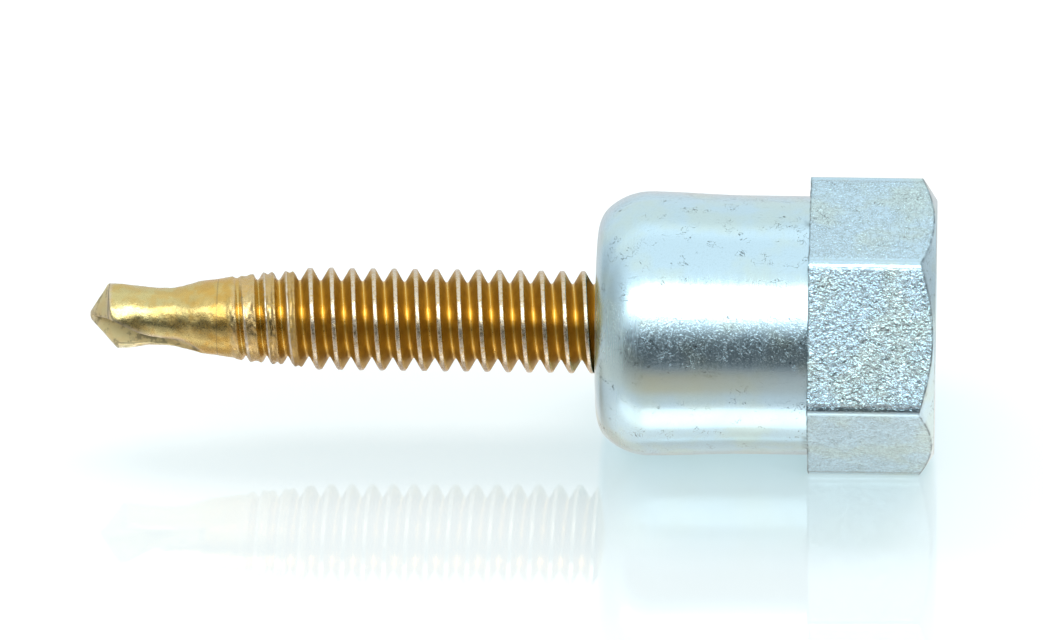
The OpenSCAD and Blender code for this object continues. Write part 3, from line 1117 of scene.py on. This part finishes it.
def surroundings(studio):
    """White room, grey at both ends, with a dark opening behind the camera.

    The opening is where the direction, seen along the axis, rises less
    than 30 degrees from -Y, and doesn't point far along the axis. The
    camera sees white at a strength of 1.
    """
    world = bpy.data.worlds.new("light tent")
    world.use_nodes = True
    tree = world.node_tree
    tree.nodes.clear()
    way = add(tree, "TexCoord").outputs["Generated"]
    parts = add(tree, "SeparateXYZ", {0: way})
    front = times(tree, parts.outputs["Y"], -1.0)
    rise = maths(tree, "ARCTAN2", parts.outputs["Z"], front)
    low = ramp(tree, rise, math.radians(38), math.radians(22))
    aside = size_of(tree, parts.outputs["X"])
    dark = times(tree, low, ramp(tree, aside, 0.9, 0.6))
    end = ramp(tree, aside, 0.6, 0.95, studio.room, studio.sides)
    # a brighter ceiling, with a strip at 126 degrees round from -Y
    over = ramp(tree, parts.outputs["Z"], 0.7, 0.95, 0.0, 0.1)
    strip = size_of(tree, maths(tree, "SUBTRACT", rise, math.radians(126)))
    strip = ramp(tree, strip, math.radians(12), math.radians(3), 0.0, 0.16)
    over = maths(tree, "ADD", over, strip)
    strength = maths(tree, "ADD", mix_values(tree, dark, end, studio.opening), over)
    camera_ray = add(tree, "LightPath").outputs["Is Camera Ray"]
    strength = mix_values(tree, camera_ray, strength, 1.0)
    sockets = {"Strength": strength, "Color": rgba((1, 1, 1))}
    light = add(tree, "Background", sockets)
    add(tree, "OutputWorld", {"Surface": light.outputs[0]})
    bpy.context.scene.world = world


def floor_corners(n):
    """The floor touches the belly and the end rim of the lowest flat."""
    belly_x, belly_z = n.belly_at, -n.belly_d / 2
    rim_x = n.total_len - (n.hex_af - n.chamfer_d) / 2 * math.tan(n.chamfer)
    rim_z = -n.hex_af / 2
    slope = (rim_z - belly_z) / (rim_x - belly_x)
    return [
        (x * FLOOR_HALF, y * FLOOR_HALF, belly_z + slope * (x * FLOOR_HALF - belly_x))
        for x, y in ((-1, -1), (1, -1), (1, 1), (-1, 1))
    ]


def camera_matrix(studio):
    """The camera's place and its turn.

    It stands at its distance from a place on the axis, at the elevation
    from -Y. It looks at that place, and is then turned about its upright,
    its right and its own axis.
    """
    back = Vector((0, -math.cos(studio.elevation), math.sin(studio.elevation)))
    right = Vector((1, 0, 0))
    turn = Matrix.Rotation(-studio.yaw, 3, right.cross(-back))
    ahead, right = turn @ -back, turn @ right
    ahead = Matrix.Rotation(studio.pitch, 3, right) @ ahead
    turn = Matrix.Rotation(-studio.roll, 3, ahead)
    upright = right.cross(ahead)
    right, upright = turn @ right, turn @ upright
    place = back * studio.distance + Vector((studio.along, 0, 0))
    facing = Matrix((right, upright, -ahead)).transposed()
    return Matrix.Translation(place) @ facing.to_4x4()


class HANGER_OT_stage(bpy.types.Operator):
    """Lay the floor and set the lights and the camera"""

    bl_idname = "hanger.stage"
    bl_label = "Stage"

    def execute(self, context):
        studio = context.scene.hanger_studio
        mesh = bpy.data.meshes.new("floor")
        mesh.from_pydata(floor_corners(context.scene.hanger_nut), [], [(0, 1, 2, 3)])
        mesh.materials.append(glossy_floor(context.scene.hanger_colours))
        floor = bpy.data.objects.new("floor", mesh)
        context.collection.objects.link(floor)

        for name, setting, rise, *sizes, hidden in SOFTBOXES:
            lamp = softbox(name, getattr(studio, setting), math.radians(rise), *sizes)
            setattr(lamp, hidden, False)
        surroundings(studio)

        camera = bpy.data.cameras.new("camera")
        camera.lens = studio.lens
        camera.sensor_width = 36
        camera.clip_start, camera.clip_end = 0.05, 20
        holder = bpy.data.objects.new("camera", camera)
        context.collection.objects.link(holder)
        holder.matrix_world = camera_matrix(studio)
        context.scene.camera = holder
        context.scene.view_settings.view_transform = "Standard"
        return {"FINISHED"}


class HANGER_PT_panel(bpy.types.Panel):
    """Lists the pieces and their sizes"""

    bl_idname = "HANGER_PT_panel"
    bl_label = "Rod hanger screw"
    bl_space_type = "VIEW_3D"
    bl_region_type = "UI"
    bl_category = "Hanger"

    def draw(self, context):
        scene = context.scene
        for operator, group in (
            ("hanger.screw", scene.hanger_screw),
            ("hanger.nut", scene.hanger_nut),
            ("hanger.stage", scene.hanger_studio),
        ):
            box = self.layout.box()
            box.operator(operator)
            for key in group.__annotations__:
                box.prop(group, key)
        box = self.layout.box()
        for key in scene.hanger_colours.__annotations__:
            box.prop(scene.hanger_colours, key)


GROUPS = {
    "hanger_screw": ScrewSizes,
    "hanger_nut": NutSizes,
    "hanger_colours": FinishColours,
    "hanger_studio": StudioSettings,
}
OTHERS = (HANGER_OT_screw, HANGER_OT_nut, HANGER_OT_stage, HANGER_PT_panel)


def register():
    """Adds the classes, and their settings to every scene."""
    for kind in (*GROUPS.values(), *OTHERS):
        bpy.utils.register_class(kind)
    for name, group in GROUPS.items():
        setattr(bpy.types.Scene, name, PointerProperty(type=group))


def unregister():
    """Takes them away again."""
    for name in GROUPS:
        delattr(bpy.types.Scene, name)
    for kind in reversed((*GROUPS.values(), *OTHERS)):
        bpy.utils.unregister_class(kind)


def main():
    """Makes the pieces and the stage."""
    register()
    bpy.ops.hanger.screw()
    bpy.ops.hanger.nut()
    bpy.ops.hanger.stage()


if __name__ == "__main__":
    main()
